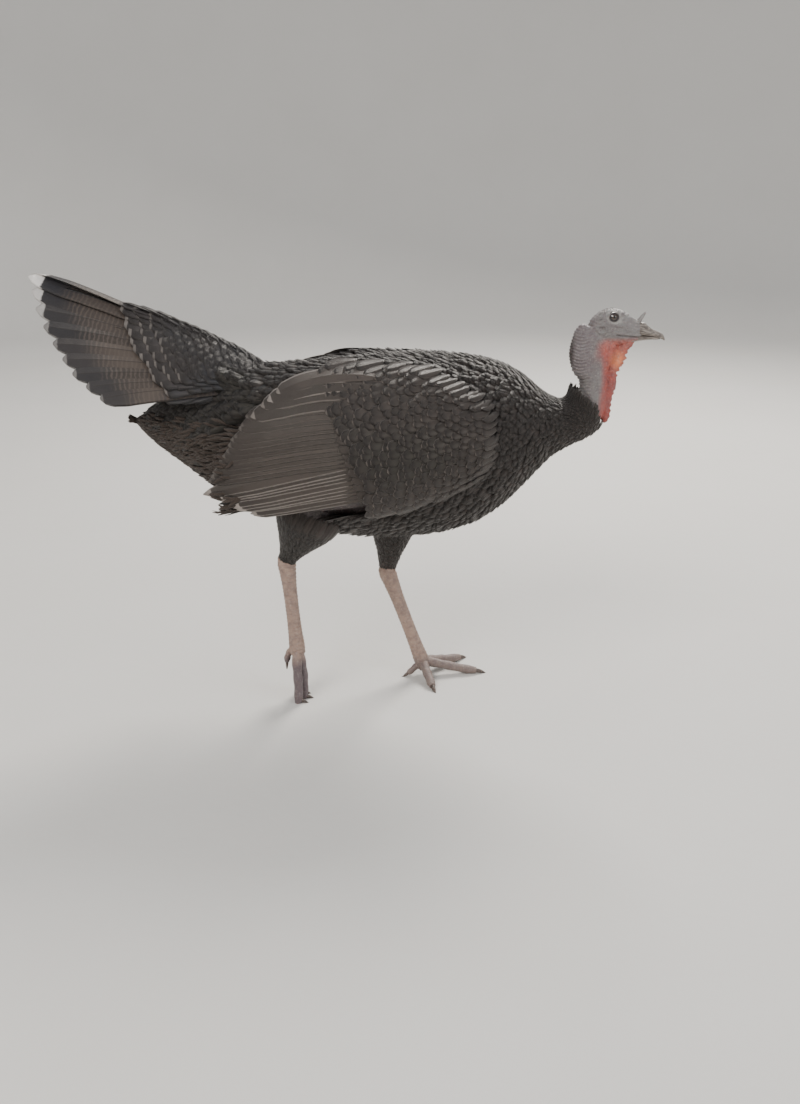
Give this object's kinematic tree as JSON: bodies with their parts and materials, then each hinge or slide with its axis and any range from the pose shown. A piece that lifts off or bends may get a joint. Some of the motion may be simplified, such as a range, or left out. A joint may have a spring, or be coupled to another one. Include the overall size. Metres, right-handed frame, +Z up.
{
  "type": "domestic turkey",
  "caption": "Life-size walking turkey hen: dark plumage, raised fanned tail, folded wings, bare grey head with red throat, one foot flat and one on its toe tips.",
  "frame": {"origin": "on the floor, below the middle of the bird's bounding box", "axes": "+X towards the bill, +Y to the bird's left, +Z up"},
  "size_m": [0.81, 0.2432, 0.5772],
  "materials": {
    "body_feathers": "soft, glossy black-brown contour feathers",
    "wing_feathers": "smooth grey-brown flight feathers",
    "tail_feathers": "barred dark brown tail feathers with pale tips",
    "head_skin": "bare blue-grey skin",
    "red_skin": "bare red skin",
    "bill_horn": "grey-brown horn",
    "eye": "wet, near black",
    "leg_scales": "pinkish grey scaled skin",
    "claw_horn": "dark horn"
  },
  "bodies": {
    "root": {"bill_lower": "bill_horn", "bill_upper": "bill_horn", "claw_back_left": "claw_horn", "claw_back_right": "claw_horn", "claw_inner_left": "claw_horn", "claw_inner_right": "claw_horn", "claw_middle_left": "claw_horn", "claw_middle_right": "claw_horn", "claw_outer_left": "claw_horn", "claw_outer_right": "claw_horn", "drumstick_left": "body_feathers", "drumstick_right": "body_feathers", "eye_left": "eye", "eye_right": "eye", "head": "head_skin", "neck_bare": "head_skin", "neck_feathered": "body_feathers", "shank_left": "leg_scales", "shank_right": "leg_scales", "snood": "head_skin", "tail": "tail_feathers", "toe_back_left": "leg_scales", "toe_back_right": "leg_scales", "toe_inner_left": "leg_scales", "toe_inner_right": "leg_scales", "toe_middle_left": "leg_scales", "toe_middle_right": "leg_scales", "toe_outer_left": "leg_scales", "toe_outer_right": "leg_scales", "trunk": "body_feathers", "wattle": "red_skin", "wing_left": "wing_feathers", "wing_right": "wing_feathers"}
  },
  "joints": []
}
